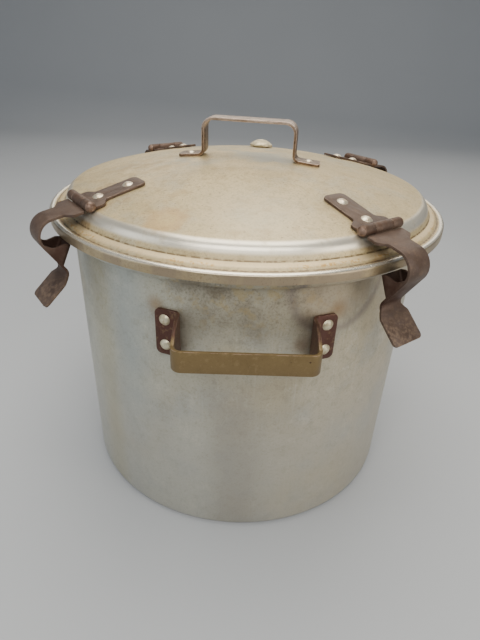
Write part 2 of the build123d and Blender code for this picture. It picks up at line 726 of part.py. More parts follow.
def hook_box():
    """The sides of the strap folded in and wrapped round a nose that goes under the pot's rim."""
    corners, _ = strap_path()
    outer = corners[2]
    back = radians(strap_return)
    # the box is let into the strap's sheet, between these two ends
    inset = clamp_sheet * hook_overlap / sin(back)

    def on_strap(level):
        return outer[0] - inset - (outer[1] - level) / tan(back), level

    upper, foot = on_strap(outer[1] - strap_turn_radius), on_strap(hook_top - hook_depth)
    crest = (hook_nose + hook_crest_run, hook_top + hook_crest_rise)
    dip = (hook_nose + hook_dip_run, hook_top - hook_dip_drop)
    profile = FilletPolyline(foot, (hook_nose, hook_top), crest, dip, upper,
                             radius=[hook_nose_radius, hook_crest_radius, hook_dip_radius])
    outside = slab(make_face([*profile.edges(), *Line(upper, foot).edges()]), clamp_width)
    # the nose wall leans: both prisms run along it, with round corners towards the pot
    rise = hypot(foot[0] - hook_nose, hook_top - foot[1])
    up = ((hook_nose - foot[0]) / rise, (hook_top - foot[1]) / rise)
    wall = Plane(origin=(foot[0], 0, foot[1]), x_dir=(up[1], 0, -up[0]), z_dir=(up[0], 0, up[1]))
    near = (Align.MIN, Align.CENTER)
    round_box = RectangleRounded(4 * clamp_width, clamp_width, hook_side_radius, align=near)
    outside &= wall * Pos(0, 0, -clamp_width) * extrude(round_box, 4 * clamp_width)
    round_hollow = Pos(hook_sheet, 0) * RectangleRounded(
        4 * clamp_width, clamp_width - 2 * hook_sheet, hook_side_radius - hook_sheet, align=near)
    return outside - wall * extrude(round_hollow, 4 * clamp_width)


# ---- build and write ----

def pieces():
    nodes = {
        "pot_shell": pot_shell(),
        "rim_wire": rim_wire(),
        "front_handle": side_handle(handle_azimuth),
        "front_handle_rivets": side_rivets(handle_azimuth),
        "rear_handle": side_handle(handle_azimuth + 180),
        "rear_handle_rivets": side_rivets(handle_azimuth + 180),
        "lid_shell": lid_shell(),
        "lid_gasket": lid_gasket(),
        "lid_handle": lid_handle(),
        "lid_handle_rivets": lid_handle_rivets(),
        "vent_seat": vent_seat(),
        "vent_nut": vent_nut(),
        "vent_cap": vent_cap(),
        "vent_retainer": vent_retainer(),
    }
    clamp_parts = {"leaf": clamp_leaf(), "leaf_rivets": clamp_rivets(),
                   "hinge_pin": clamp_pin(), "strap": clamp_strap()}
    for corner, azimuth in clamp_azimuths.items():
        for name, solid in clamp_parts.items():
            nodes[f"{corner}_clamp_{name}"] = around(azimuth) * solid
    return nodes


os.makedirs("parts", exist_ok=True)
for name, solid in pieces().items():
    export_step(solid, f"parts/{name}.step")
    print(name, "written")
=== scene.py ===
import math

import bpy
from mathutils import Matrix, Vector


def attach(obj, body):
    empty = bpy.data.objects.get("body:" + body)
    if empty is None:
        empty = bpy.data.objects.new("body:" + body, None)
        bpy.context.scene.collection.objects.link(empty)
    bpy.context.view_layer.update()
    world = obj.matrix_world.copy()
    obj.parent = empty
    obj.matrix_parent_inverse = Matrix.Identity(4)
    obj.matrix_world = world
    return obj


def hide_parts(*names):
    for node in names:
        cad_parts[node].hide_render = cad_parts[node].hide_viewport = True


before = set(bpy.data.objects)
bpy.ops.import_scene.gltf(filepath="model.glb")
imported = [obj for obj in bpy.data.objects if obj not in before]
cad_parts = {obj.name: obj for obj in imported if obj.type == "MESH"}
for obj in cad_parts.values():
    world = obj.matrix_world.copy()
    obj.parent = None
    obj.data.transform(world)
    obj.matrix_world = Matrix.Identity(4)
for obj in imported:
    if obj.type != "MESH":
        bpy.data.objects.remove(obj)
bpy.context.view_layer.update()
print("frame loaded")


class signal:  # a node's output that works in an expression
    def __init__(self, maker, socket):
        self.maker = maker
        self.socket = socket

    def maths(self, operation, first, second):
        return self.maker.node("ShaderNodeMath", {"operation": operation}, {0: first, 1: second})

    def __add__(self, other):
        return self.maths("ADD", self, other)

    def __radd__(self, other):
        return self.maths("ADD", other, self)

    def __sub__(self, other):
        return self.maths("SUBTRACT", self, other)

    def __rsub__(self, other):
        return self.maths("SUBTRACT", other, self)

    def __mul__(self, other):
        return self.maths("MULTIPLY", self, other)

    def __rmul__(self, other):
        return self.maths("MULTIPLY", other, self)

    def __pow__(self, other):
        return self.maths("POWER", self, other)


class finish:  # one material and the nodes in it
    def __init__(self, name):
        self.material = bpy.data.materials.new(name)
        self.material.use_nodes = True
        self.tree = self.material.node_tree
        self.tree.nodes.clear()
        self.place = self.node("ShaderNodeTexCoord", out="Object")
        self.x, self.y, self.z = (self.node("ShaderNodeSeparateXYZ", {}, {0: self.place}, i)
                                  for i in range(3))
        self.reach = (self.x * self.x + self.y * self.y) ** 0.5  # distance from the pot's axis

    def node(self, kind, settings=None, sockets=None, out=0):
        made = self.tree.nodes.new(kind)
        for key, value in (settings or {}).items():
            setattr(made, key, value)
        for key, value in (sockets or {}).items():
            if isinstance(value, signal):
                self.tree.links.new(value.socket, made.inputs[key])
            else:
                made.inputs[key].default_value = value
        return signal(self, made.outputs[out]) if out is not None else made

    def noise(self, scale, detail=3.0, roughness=0.55, stretch=None):
        where = self.place
        if stretch:
            where = self.node("ShaderNodeMapping", {}, {"Vector": where, "Scale": stretch})
        return self.node("ShaderNodeTexNoise", {}, {
            "Vector": where, "Scale": scale, "Detail": detail, "Roughness": roughness}, "Fac")

    def cells(self, scale):
        return self.node("ShaderNodeTexVoronoi", {"feature": "F1"}, {
            "Vector": self.place, "Scale": scale}, "Distance")

    def step(self, value, low, high):
        return self.node("ShaderNodeMapRange", {"interpolation_type": "SMOOTHSTEP"}, {
            "Value": value, "From Min": low, "From Max": high}, "Result")

    def band(self, value, low, high, soft):  # 1 between low and high, fading over soft
        rising = self.step(value, low - soft, low + soft)
        return rising * (1 - self.step(value, high - soft, high + soft))

    def near(self, x, y, z, size):  # 1 at a point, 0 beyond size
        dx, dy, dz = self.x - x, self.y - y, self.z - z
        away = (dx * dx + dy * dy + dz * dz) ** 0.5
        return 1 - self.step(away, 0.0, size)

    def mix(self, amount, first, second):
        colours = {0: amount, 6: first, 7: second}
        return self.node("ShaderNodeMix", {"data_type": "RGBA"}, colours, 2)

    def bump(self, height, distance, strength):
        return self.node("ShaderNodeBump", {}, {
            "Height": height, "Distance": distance, "Strength": strength}, "Normal")

    def close(self, sockets):
        surface = self.node("ShaderNodeBsdfPrincipled", {}, sockets)
        self.node("ShaderNodeOutputMaterial", {}, {"Surface": surface}, None)
        return self.material


def paint(red, green, blue):  # display values up to 255, as linear light
    values = [v / 255 for v in (red, green, blue)]
    linear = [v / 12.92 if v <= 0.04045 else ((v + 0.055) / 1.055) ** 2.4 for v in values]
    return (*linear, 1.0)


# where the light comes from, and the plain room
studio = {
    "floor": paint(176, 178, 180),
    "floorShade": 0.93,  # the darker clouds in it
    "floorRoughness": 0.85,
    "floorReach": 2.4,
    "wallHeight": 2.2,
    "sweep": (0.7, 24),  # width and steps of the bend between floor and wall
    "room": paint(150, 158, 168),
    "roomStrength": 0.62,
    "lights": [  # place, aim, size, power, colour
        ((0.0, 0.12, 1.35), (0.0, -0.04, 0.25), (1.0, 1.1), 17.0, (1.0, 0.955, 0.87)),
        ((0.2, 1.5, 1.0), (0.0, 0.0, 0.2), (2.2, 0.8), 9.0, (1.0, 0.95, 0.86)),
        ((-1.3, -0.6, 0.6), (0.0, 0.0, 0.12), (0.8, 1.1), 4.5, (0.90, 0.95, 1.0)),
        ((1.2, -0.9, 0.5), (0.0, 0.0, 0.12), (0.6, 1.0), 8.0, (1.0, 0.94, 0.83)),
        ((0.0, -1.12, 1.14), (0.0, -0.12, 0.24), (1.5, 0.60), 16.0, (1.0, 0.98, 0.94)),
    ],
}


def buildStudio():
    bpy.ops.object.select_all(action="DESELECT")
    bpy.ops.mesh.primitive_plane_add(size=2 * studio["floorReach"])
    floor = bpy.context.object
    floor.name = "studioFloor"
    bpy.ops.object.mode_set(mode="EDIT")
    bpy.ops.mesh.select_mode(type="EDGE")
    bpy.ops.mesh.select_all(action="DESELECT")
    bpy.ops.object.mode_set(mode="OBJECT")
    for edge in floor.data.edges:  # the back edge goes up as a sweep
        edge.select = all(floor.data.vertices[i].co.y > 0 for i in edge.vertices)
    bpy.ops.object.mode_set(mode="EDIT")
    bpy.ops.mesh.extrude_region_move(TRANSFORM_OT_translate={"value": (0, 0, studio["wallHeight"])})
    bpy.ops.object.mode_set(mode="OBJECT")
    bend = floor.modifiers.new("sweep", "BEVEL")
    bend.width, bend.segments = studio["sweep"]
    bend.limit_method = "ANGLE"
    bpy.ops.object.modifier_apply(modifier="sweep")
    bpy.ops.object.shade_smooth()
    cloth = finish("floorPaint")
    shade = (*[studio["floorShade"] * v for v in studio["floor"][:3]], 1)
    tone = cloth.mix(cloth.noise(3.0, 2.0), studio["floor"], shade)
    floor.data.materials.append(cloth.close({
        "Base Color": tone, "Roughness": studio["floorRoughness"]}))
    world = bpy.data.worlds.new("room")
    bpy.context.scene.world = world
    world.use_nodes = True
    glow = world.node_tree.nodes["Background"]
    glow.inputs["Color"].default_value = studio["room"]
    glow.inputs["Strength"].default_value = studio["roomStrength"]
    for place, aim, size, power, colour in studio["lights"]:
        bpy.ops.object.light_add(type="AREA", location=place)
        lamp = bpy.context.object
        lamp.data.shape, lamp.data.size, lamp.data.size_y = "RECTANGLE", *size
        lamp.data.energy, lamp.data.color = power, colour
        lamp.rotation_euler = (Vector(aim) - Vector(place)).to_track_quat("-Z", "Y").to_euler()
    print("studio built")


view = {
    "place": (0.0, -0.4353, 0.3707),
    "lens": 28.0,
    "sensor": 36,
    "down": 0.5174,  # radians below level
    "aside": -0.0042,
    "tilt": 0.0412,
}


def buildCamera():
    down, aside, tilt = view["down"], view["aside"], view["tilt"]
    ahead = Vector((math.sin(aside) * math.cos(down), math.cos(aside) * math.cos(down),
                    -math.sin(down)))
    level = Vector((math.cos(aside), -math.sin(aside), 0))
    up = level.cross(ahead)
    right = math.cos(tilt) * level + math.sin(tilt) * up
    above = -math.sin(tilt) * level + math.cos(tilt) * up
    turn = Matrix((right, above, -ahead)).transposed().to_4x4()
    bpy.ops.object.camera_add()
    camera = bpy.context.object
    camera.data.lens, camera.data.sensor_width = view["lens"], view["sensor"]
    camera.matrix_world = Matrix.Translation(view["place"]) @ turn
    bpy.context.scene.camera = camera
    print("camera placed")


shaping = {
    "dot": 0.002,  # the plane that is merged into a section's first point
    "shellWeld": 0.00002,
    "copyWeld": 0.00001,
    "flat": math.radians(0.6),  # facets closer than this become one face
    "shellSmooth": math.radians(40),
    "copySmooth": math.radians(38),
    "sharp": math.radians(50),  # edges sharper than this are broken
    "brokenSteps": 2,
}


def roundedPath(corners, steps=6):
    # corners are (distance, height, radius); each rounded one becomes an arc of short steps
    path = []
    for i, (x, z, radius) in enumerate(corners):
        here = Vector((x, z))
        if not radius or i in (0, len(corners) - 1):
            path.append(here)
            continue
        before = (Vector(corners[i - 1][:2]) - here).normalized()
        after = (Vector(corners[i + 1][:2]) - here).normalized()
        half = before.angle(after) / 2
        middle = here + (before + after).normalized() * radius / math.sin(half)
        start = here + before * radius / math.tan(half) - middle
        sweep = start.angle_signed(here + after * radius / math.tan(half) - middle)
        count = max(2, math.ceil(abs(sweep) / math.radians(90) * steps))
        for k in range(count + 1):
            turn = -sweep * k / count
            path.append(middle + Vector((start.x * math.cos(turn) - start.y * math.sin(turn),
                                         start.x * math.sin(turn) + start.y * math.cos(turn))))
    return path


def spunShell(name, outline, steps):
    # a section drawn point by point and spun about the upright axis
    bpy.ops.object.select_all(action="DESELECT")
    bpy.ops.mesh.primitive_plane_add(size=shaping["dot"], location=(outline[0].x, 0, outline[0].y))
    shell = bpy.context.object
    shell.name = name
    bpy.ops.object.transform_apply(location=True)
    bpy.ops.object.mode_set(mode="EDIT")
    bpy.ops.mesh.select_mode(type="VERT")
    bpy.ops.mesh.select_all(action="SELECT")
    bpy.ops.mesh.merge(type="CENTER")
    for here, there in zip(outline, outline[1:]):
        bpy.ops.mesh.extrude_region_move(
            TRANSFORM_OT_translate={"value": (there.x - here.x, 0, there.y - here.y)})
    bpy.ops.mesh.select_all(action="SELECT")
    bpy.ops.mesh.spin(steps=steps, angle=2 * math.pi, center=(0, 0, 0), axis=(0, 0, 1))
    bpy.ops.mesh.select_all(action="SELECT")
    bpy.ops.mesh.remove_doubles(threshold=shaping["shellWeld"])
    bpy.ops.mesh.normals_make_consistent(inside=False)
    bpy.ops.object.mode_set(mode="OBJECT")
    bpy.ops.object.shade_smooth_by_angle(angle=shaping["shellSmooth"])
    return shell


def softEdged(node, name, width):
    # a copy of a node with its edges broken and marked for wear
    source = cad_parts[node]
    bpy.ops.object.select_all(action="DESELECT")
    piece = bpy.data.objects.new(name, source.data.copy())
    bpy.context.collection.objects.link(piece)
    piece.select_set(True)
    bpy.context.view_layer.objects.active = piece
    piece.data.materials.clear()
    bpy.ops.object.mode_set(mode="EDIT")
    bpy.ops.mesh.select_all(action="SELECT")
    bpy.ops.mesh.remove_doubles(threshold=shaping["copyWeld"])
    bpy.ops.mesh.customdata_custom_splitnormals_clear()
    bpy.ops.mesh.dissolve_limited(angle_limit=shaping["flat"])
    bpy.ops.object.mode_set(mode="OBJECT")
    for kind in ("flat", "broken"):  # two empty slots tell the new faces from the old
        piece.data.materials.append(None)
    broken = piece.modifiers.new("edges", "BEVEL")
    broken.width, broken.segments = width, shaping["brokenSteps"]
    broken.limit_method, broken.angle_limit = "ANGLE", shaping["sharp"]
    broken.material, broken.use_clamp_overlap = 1, True
    bpy.ops.object.modifier_apply(modifier="edges")
    worn = piece.data.attributes.new("edgeWear", "FLOAT", "CORNER")
    for face in piece.data.polygons:
        for i in face.loop_indices:
            worn.data[i].value = 1.0 if face.material_index == 1 else 0.0
        face.material_index = 0
    piece.data.materials.clear()
    bpy.ops.object.shade_smooth_by_angle(angle=shaping["copySmooth"])
    return piece


def settle(piece, node, body, material):
    piece.data.materials.clear()
    piece.data.materials.append(material)
    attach(piece, body)
    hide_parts(node)


def dressNode(node, material):
    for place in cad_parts[node].material_slots:
        place.material = material


def turnedPiece(name, outline, steps, place):
    # spun about its own axis, then set in its place
    piece = spunShell(name, outline, steps)
    piece.matrix_world = place
    bpy.ops.object.select_all(action="DESELECT")
    piece.select_set(True)
    bpy.context.view_layer.objects.active = piece
    bpy.ops.object.transform_apply(location=True, rotation=True, scale=False)
    return piece


def capArc(radius, rise, level, steps=8):
    # from the middle of a shallow dome out to its edge
    ball = (radius ** 2 + rise ** 2) / (2 * rise)
    widest = math.asin(min(1.0, radius / ball))
    return [Vector((ball * math.sin(widest * k / steps),
                    level + rise - ball + ball * math.cos(widest * k / steps)))
            for k in range(steps + 1)]


def around(degrees):
    return Matrix.Rotation(math.radians(degrees), 4, "Z")


def shift(x, y, z):
    return Matrix.Translation((x, y, z))


pot = {
    "baseRadius": 0.1467, "topRadius": 0.1484, "height": 0.2422, "sheet": 0.002,
    "baseCorner": 0.007, "rimSheet": 0.0018, "rimTurn": 0.003, "rollPlace": 0.1556,
    "rollRadius": 0.0039, "steps": 288,
    "rings": 12, "firstRing": 1.3,  # up the wall, the first this many base corners high
    "turnSteps": 6, "rollStep": 15,
    "tones": {
        "cool": paint(182, 182, 168), "warm": paint(186, 174, 148),
        "greyPatch": paint(156, 158, 154), "tanCloud": paint(164, 150, 120),
        "streak": paint(168, 164, 152), "drawnLine": paint(214, 210, 198),
        "lowWall": paint(178, 176, 168), "darkMottle": paint(140, 134, 116),
        "paleMottle": paint(208, 204, 188), "grain": paint(134, 128, 110),
        "speck": paint(222, 216, 202), "yellowBand": paint(170, 158, 118),
        "blueBand": paint(160, 170, 172), "dullField": paint(130, 116, 90),
        "darkDots": paint(92, 80, 60), "tanDots": paint(176, 156, 110),
        "tideLine": paint(112, 100, 100), "tideFill": paint(160, 140, 116),
        "rimShadow": paint(96, 84, 64), "rust": paint(118, 84, 50),
        "rustSpot": paint(140, 106, 62), "middle": paint(134, 128, 118),
        "lowStain": paint(182, 166, 128), "foot": paint(70, 66, 60),
        "inside": paint(140, 137, 128),
    },
    # marks: (low, high, soft) for a band, (x, y, z) for a place, with a size where it has one
    "yellowBand": (-0.120, -0.100, 0.008), "blueBand": (-0.094, -0.072, 0.010),
    "betweenPlates": (-0.052, 0.060, 0.022), "underRim": (0.186, 0.226),
    "tideMark": (0.066, -0.133, 0.232), "tideRing": (0.0335, 0.0395, 0.0035),
    "rimShadow": (0.2285, 0.2345), "middleShadeBand": (-0.022, 0.020, 0.014),
    "lowStain": (0.066, -0.130, 0.030, 0.07), "foot": (0.0018, 0.0044),
    "plateRust": ((-0.0445, -0.1405, 0.200), (-0.0445, -0.1405, 0.184),
                  (0.0435, -0.1410, 0.206), (0.0430, -0.1410, 0.186),
                  (0.0445, 0.1405, 0.198), (-0.0435, 0.1410, 0.198)),
    "plateRustSize": 0.0115,
    "rustSpots": ((0.0660, -0.1320, 0.2105), (-0.0590, -0.1350, 0.2100)),
    "rustSpotSize": 0.011,
}


def potOutline():
    top, sheet, turn = pot["height"], pot["sheet"], pot["rimTurn"]
    rim, roll, place = pot["rimSheet"], pot["rollRadius"], pot["rollPlace"]
    wallTop = top - rim - turn
    lean = (pot["topRadius"] - pot["baseRadius"]) / wallTop
    outside = roundedPath([(0, 0, 0), (pot["baseRadius"], 0, pot["baseCorner"]),
                           (pot["topRadius"], wallTop, 0)])
    rings, first = pot["rings"], pot["baseCorner"] * pot["firstRing"]
    wall = []
    for k in range(1, rings):  # evenly spaced rings up the wall
        height = first + (wallTop - first) * k / rings
        wall.append(Vector((pot["baseRadius"] + lean * height, height)))
    path = outside[:-1] + wall + [outside[-1]]
    steps = pot["turnSteps"]
    for k in range(1, steps + 1):  # the wall turns out into the flange
        angle = math.pi - k / steps * math.pi / 2
        path.append(Vector((pot["topRadius"] + turn + turn * math.cos(angle),
                            wallTop + turn * math.sin(angle))))
    level = top - roll
    over = range(90, -181, -pot["rollStep"])  # the sheet rolls over the wire and back
    back = range(-180, 91, pot["rollStep"])
    for radius, angles in ((roll - rim, over), (roll, back)):
        for angle in angles:
            a = math.radians(angle)
            path.append(Vector((place + radius * math.cos(a), level + radius * math.sin(a))))
    inner, bend = pot["topRadius"] - sheet, turn + rim
    for k in range(steps + 1):
        angle = math.pi / 2 + k / steps * math.pi / 2
        path.append(Vector((inner + turn + rim + bend * math.cos(angle),
                            wallTop + bend * math.sin(angle))))
    path += [Vector((p.x - sheet, p.y)) for p in reversed(wall)]
    path += list(reversed(roundedPath([
        (0, sheet, 0), (pot["baseRadius"] - sheet + lean * sheet, sheet, pot["baseCorner"] - sheet),
        (inner, wallTop, 0)])))[1:]
    return path


def potMetal():
    m, tones = finish("agedPotAluminium"), pot["tones"]
    cloud = m.noise(11, 3, 0.55)
    patch = m.noise(27, 4, 0.6)
    streaks = m.noise(30, 3, 0.5, (1, 1, 0.10))
    fine = m.noise(520, 2, 0.5, (1, 1, 0.06))
    grain = m.noise(620, 3, 0.75)
    speck = m.noise(1150, 2, 0.6)
    warm = m.step(m.x + (cloud - 0.5) * 0.16, -0.13, 0.12)
    tone = m.mix(warm, tones["cool"], tones["warm"])
    tone = m.mix(m.step(patch, 0.44, 0.66) * 0.50, tone, tones["greyPatch"])
    tone = m.mix(m.step(cloud, 0.50, 0.66) * 0.50, tone, tones["tanCloud"])
    tone = m.mix(m.step(streaks, 0.46, 0.74) * 0.35, tone, tones["streak"])
    tone = m.mix(m.step(fine, 0.52, 0.80) * 0.16, tone, tones["drawnLine"])
    mottle = m.noise(130, 5, 0.7)
    high = m.step(m.z, 0.06, 0.19)  # the lower wall is cleaner and greyer
    tone = m.mix((1 - high) * 0.60, tone, tones["lowWall"])
    strength = 0.16 + high * 0.20
    tone = m.mix(m.step(mottle, 0.50, 0.66) * strength, tone, tones["darkMottle"])
    tone = m.mix(m.step(m.noise(75, 5, 0.7), 0.54, 0.68) * strength, tone, tones["paleMottle"])
    tone = m.mix(m.step(grain, 0.50, 0.66) * (0.20 + high * 0.14), tone, tones["grain"])
    tone = m.mix(m.step(speck, 0.60, 0.74) * 0.20, tone, tones["speck"])
    outside = m.step(m.reach - m.z * 0.007, 0.1450, 0.1462)  # the wall leans out a little
    front = m.step(-1 * m.y, 0.05, 0.13) * outside
    # yellow and blue bands down the left of the wall
    tone = m.mix(m.band(m.x, *pot["yellowBand"]) * front * 0.45, tone, tones["yellowBand"])
    tone = m.mix(m.band(m.x, *pot["blueBand"]) * front * m.step(m.z, 0.06, 0.17) * 0.40,
                 tone, tones["blueBand"])
    # the dull field under the rim, speckled between the handle's plates
    under = m.step(m.z + (patch - 0.5) * 0.05, *pot["underRim"])
    between = m.band(m.x + (cloud - 0.5) * 0.05, *pot["betweenPlates"]) * front
    tone = m.mix(under * between * (0.25 + m.step(patch, 0.46, 0.64) * 0.35),
                 tone, tones["dullField"])
    dots = m.step(grain * 0.6 + patch * 0.4, 0.46, 0.60)
    tone = m.mix(under * between * dots * 0.34, tone, tones["darkDots"])
    tone = m.mix(under * between * m.step(m.noise(95, 4, 0.7), 0.50, 0.62) * 0.55,
                 tone, tones["tanDots"])
    # a tide mark beside the right plate
    dx, dy, dz = (here - there for here, there in zip((m.x, m.y, m.z), pot["tideMark"]))
    ring = (dx * dx + dy * dy + dz * dz) ** 0.5 + (patch - 0.5) * 0.010
    tone = m.mix(m.band(ring, *pot["tideRing"]) * outside * 0.50, tone, tones["tideLine"])
    tone = m.mix((1 - m.step(ring, 0.026, 0.036)) * outside * 0.35, tone, tones["tideFill"])
    # painted shadow close under the rim, and rust beside the steel plates
    rimShade = m.step(m.z, *pot["rimShadow"]) * (1 - m.step(m.reach, 0.1500, 0.1515))
    tone = m.mix(rimShade * 0.62, tone, tones["rimShadow"])
    for place in pot["plateRust"]:
        rust = m.near(*place, pot["plateRustSize"]) * outside
        rust = rust * (0.35 + m.step(patch, 0.36, 0.62) * 0.65)
        tone = m.mix(rust * 0.60, tone, tones["rust"])
    for place in pot["rustSpots"]:
        tone = m.mix(m.near(*place, pot["rustSpotSize"]) * outside * 0.55, tone, tones["rustSpot"])
    # a darker band down the middle of the lower front wall: painted shade
    middle = m.band(m.x + (cloud - 0.5) * 0.05, *pot["middleShadeBand"]) * front
    tone = m.mix(middle * (1 - m.step(m.z, 0.110, 0.175)) * 0.36, tone, tones["middle"])
    low = m.near(*pot["lowStain"]) * m.step(cloud, 0.40, 0.6)
    tone = m.mix(low * 0.25, tone, tones["lowStain"])
    # the lowest few millimetres of the wall darkened: a painted contact shadow at the floor
    tone = m.mix((1 - m.step(m.z, *pot["foot"])) * 0.85, tone, tones["foot"])
    tone = m.mix((1 - outside) * 0.5 * m.step(cloud, 0.3, 0.7), tone, tones["inside"])
    dull = 0.46 + (streaks - 0.5) * 0.14 + (patch - 0.5) * 0.16 + under * between * 0.10
    height = fine * 0.15 + grain * 0.35 + m.noise(70, 2, 0.5) * 0.9
    return m.close({"Base Color": tone, "Metallic": 0.62, "Roughness": dull,
                    "Normal": m.bump(height, 0.0004, 0.30)})


def buildPot():
    shell = spunShell("potBody", potOutline(), pot["steps"])
    settle(shell, "pot_shell", "pot", potMetal())
    print("pot built")


lid = {
    "top": 0.283, "crownRadius": 0.510, "crownEdge": 0.14452, "sheet": 0.002,
    "shoulder": 0.009, "slope": 68.0, "step": 0.1527, "ledge": 0.157, "ledgeDrop": 0.0013,
    "groove": 0.1598, "grooveDrop": 0.0039, "crestRise": 0.0015, "crestDrop": 0.0014,
    "radius": 0.165, "skirt": 0.241, "steps": 320,
    "bends": (0.0022, 0.0024, 0.0024, 0.0024, 0.0021),  # from the step out to the skirt
    "bendSteps": 10, "crownRings": 40,
    "crownLead": 0.001,  # the crown stops this far short of the shoulder
    "tones": {
        "base": paint(202, 182, 138), "baseDark": paint(182, 163, 120),
        "greyPatch": paint(172, 166, 144), "blotch": paint(160, 138, 96),
        "fineBlotch": paint(158, 138, 98), "grain": paint(138, 120, 84),
        "speck": paint(228, 216, 188), "coolCloud": paint(152, 152, 142),
        "brownCloud": paint(160, 134, 90), "frontSheen": paint(214, 202, 172),
        "stainEdge": paint(182, 142, 84), "stain": paint(196, 164, 108),
        "pit": paint(92, 76, 52), "leafRust": paint(142, 106, 66),
        "paintedHighlight": paint(234, 226, 208), "grime": paint(96, 76, 48),
        "ledge": paint(222, 200, 158), "ledgeRust": paint(190, 146, 74),
        "groove": paint(92, 74, 56), "skirt": paint(150, 134, 112),
        "skirtSpeck": paint(108, 92, 66),
    },
    # marks: (x, y, z, size) for a cloud, (low, high, soft) for a ring about the axis
    "coolClouds": ((0.022, -0.009, 0.281, 0.045), (0.001, 0.031, 0.281, 0.050),
                   (-0.050, -0.018, 0.281, 0.040)),
    "brownCloud": (-0.085, -0.020, 0.276, 0.055), "frontSheen": (0.010, -0.120, 0.268, 0.070),
    "stain": (-0.052, -0.122, 0.265, 0.021),
    "shoulderRing": (0.1455, 0.1516, 0.0016), "crestRing": (0.1612, 0.1646, 0.0004),
    "footRing": (0.1524, 0.1532, 0.0003), "ledgeRing": (0.1533, 0.1578, 0.0005),
    "ledgeRustRing": (0.1556, 0.1580, 0.0005), "grooveRing": (0.1589, 0.1603, 0.0004),
    "skirtFrom": (0.1642, 0.1649),
}


def crownHeight(distance):
    return lid["top"] - lid["crownRadius"] + math.sqrt(lid["crownRadius"] ** 2 - distance ** 2)


def lidOutline():
    lean, slope = math.asin(lid["crownEdge"] / lid["crownRadius"]), math.radians(lid["slope"])
    edge = crownHeight(lid["crownEdge"])
    side = lid["shoulder"] * math.tan((slope - lean) / 2)
    corner = (lid["crownEdge"] + side * math.cos(lean), edge - side * math.sin(lean))
    stepLevel = corner[1] - (lid["step"] - corner[0]) * math.tan(slope)
    grooveLevel = stepLevel - lid["grooveDrop"]
    crestLevel = grooveLevel + lid["crestRise"]
    start = (lid["crownEdge"] - lid["crownLead"] * math.cos(lean),
             edge + lid["crownLead"] * math.sin(lean))
    stepBend, ledgeBend, grooveBend, crestBend, skirtBend = lid["bends"]
    outer = [(*start, 0), (*corner, lid["shoulder"]), (lid["step"], stepLevel, stepBend),
             (lid["ledge"], stepLevel - lid["ledgeDrop"], ledgeBend),
             (lid["groove"], grooveLevel, grooveBend),
             ((lid["groove"] + lid["radius"]) / 2, crestLevel, crestBend),
             (lid["radius"], crestLevel - lid["crestDrop"], skirtBend),
             (lid["radius"], lid["skirt"], 0)]
    crown = []
    for k in range(lid["crownRings"]):
        distance = start[0] * k / lid["crownRings"]
        crown.append(Vector((distance, crownHeight(distance))))
    rim = roundedPath(outer, lid["bendSteps"])
    # the inner face: every point moved in along its normal
    inner = []
    below = rim[-1] + Vector((0, -0.001))  # only its direction counts
    for before, here, after in zip([crown[-1]] + rim, rim, rim[1:] + [below]):
        along = (after - here).normalized() + (here - before).normalized()
        along.normalize()
        inner.append(here + Vector((along.y, -along.x)) * lid["sheet"])
    inner[-1] = Vector((lid["radius"] - lid["sheet"], lid["skirt"]))
    under = [Vector((p.x, p.y - lid["sheet"])) for p in reversed(crown)]
    return crown + rim + list(reversed(inner)) + under


